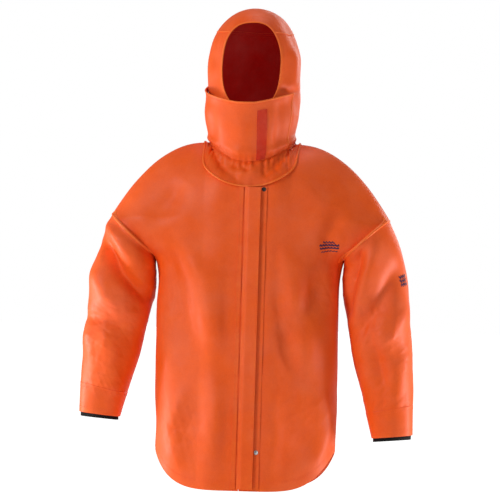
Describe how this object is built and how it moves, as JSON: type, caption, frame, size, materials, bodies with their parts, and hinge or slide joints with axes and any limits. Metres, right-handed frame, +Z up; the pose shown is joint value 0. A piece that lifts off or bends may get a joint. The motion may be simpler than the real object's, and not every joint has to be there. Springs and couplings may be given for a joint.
{
  "type": "foul weather jacket",
  "caption": "Hooded foul weather jacket of coated cloth, standing as worn, with storm flap, chin flap, collar skirt and long sleeves with inner cuffs.",
  "frame": {"origin": "middle of the neck at the height of the shoulder line, where the wearer's neck passes", "axes": "+Z up towards the hood, -Y out of the jacket's front, +X towards the right as seen from in front"},
  "size_m": [0.7967, 0.2946, 1.1422],
  "materials": {
    "coated_cloth": "semi-gloss coated",
    "trim_cloth": "semi-gloss coated",
    "lining_cloth": "matt inner face",
    "touch_strip": "looped pile",
    "hook_strip": "hooked",
    "cuff_rubber": "matt",
    "elastic": "woven elastic",
    "snap_metal": "bright",
    "snap_dark": "dark",
    "badge_print": "printed"
  },
  "bodies": {
    "jacket_body": {"front_left_panel": "coated_cloth", "front_right_panel": "coated_cloth", "back_panel": "coated_cloth", "shoulder_tapes": "lining_cloth", "side_tapes": "lining_cloth", "left_armhole_welt": "trim_cloth", "right_armhole_welt": "trim_cloth", "front_left_hem": "trim_cloth", "front_right_hem": "trim_cloth", "back_hem": "trim_cloth", "front_welt": "trim_cloth", "stud_band": "coated_cloth", "front_facing": "lining_cloth", "press_studs": "snap_metal", "stud_backs": "snap_metal", "top_snap": "snap_dark", "bottom_snap": "snap_metal", "collar_skirt": "coated_cloth", "skirt_binding": "trim_cloth", "neck_elastic": "elastic", "hanging_loop": "lining_cloth", "chest_badge": "badge_print"},
    "storm_flap": {"storm_flap": "coated_cloth", "flap_lining": "lining_cloth", "stud_sockets": "snap_metal"},
    "hood": {"hood_left_panel": "coated_cloth", "hood_right_panel": "coated_cloth", "hood_crown": "coated_cloth", "hood_back": "coated_cloth", "face_hem_left": "trim_cloth", "face_hem_right": "trim_cloth", "hood_touch_strip": "touch_strip"},
    "chin_flap": {"chin_flap": "coated_cloth", "chin_flap_strip": "touch_strip", "chin_flap_hooks": "hook_strip"},
    "left_upper_sleeve": {"left_upper_sleeve": "coated_cloth"},
    "left_lower_sleeve": {"left_lower_sleeve": "coated_cloth", "left_cuff": "coated_cloth", "left_inner_cuff": "cuff_rubber"},
    "right_upper_sleeve": {"right_upper_sleeve": "coated_cloth", "sleeve_badge": "badge_print"},
    "right_lower_sleeve": {"right_lower_sleeve": "coated_cloth", "right_cuff": "coated_cloth", "right_inner_cuff": "cuff_rubber"}
  },
  "joints": [
    {"name": "hood_tilt", "type": "hinge", "parent": "jacket_body", "child": "hood", "pos_m": [0, 0.0865, -0.0065], "axis": [-1, 0, 0], "range_deg": [0, 30]},
    {"name": "chin_flap_hinge", "type": "hinge", "parent": "hood", "child": "chin_flap", "pos_m": [-0.115, 0.006, 0.04], "axis": [0, 0, -1], "range_deg": [0, 100]},
    {"name": "storm_flap_hinge", "type": "hinge", "parent": "jacket_body", "child": "storm_flap", "pos_m": [-0.005, -0.12229, -0.102], "axis": [0, -0.0457, -0.999], "range_deg": [0, 140]},
    {"name": "left_shoulder", "type": "hinge", "parent": "jacket_body", "child": "left_upper_sleeve", "pos_m": [-0.3318, 0, -0.1748], "axis": [0, 1, 0], "range_deg": [0, 80]},
    {"name": "left_elbow", "type": "hinge", "parent": "left_upper_sleeve", "child": "left_lower_sleeve", "pos_m": [-0.31601, -0.07607, -0.41984], "axis": [-0.929, 0, 0.3702], "range_deg": [0, 75]},
    {"name": "right_shoulder", "type": "hinge", "parent": "jacket_body", "child": "right_upper_sleeve", "pos_m": [0.3318, 0, -0.1748], "axis": [0, -1, 0], "range_deg": [0, 80]},
    {"name": "right_elbow", "type": "hinge", "parent": "right_upper_sleeve", "child": "right_lower_sleeve", "pos_m": [0.31678, -0.07607, -0.43594], "axis": [-0.9303, 0, -0.3668], "range_deg": [0, 75]}
  ]
}
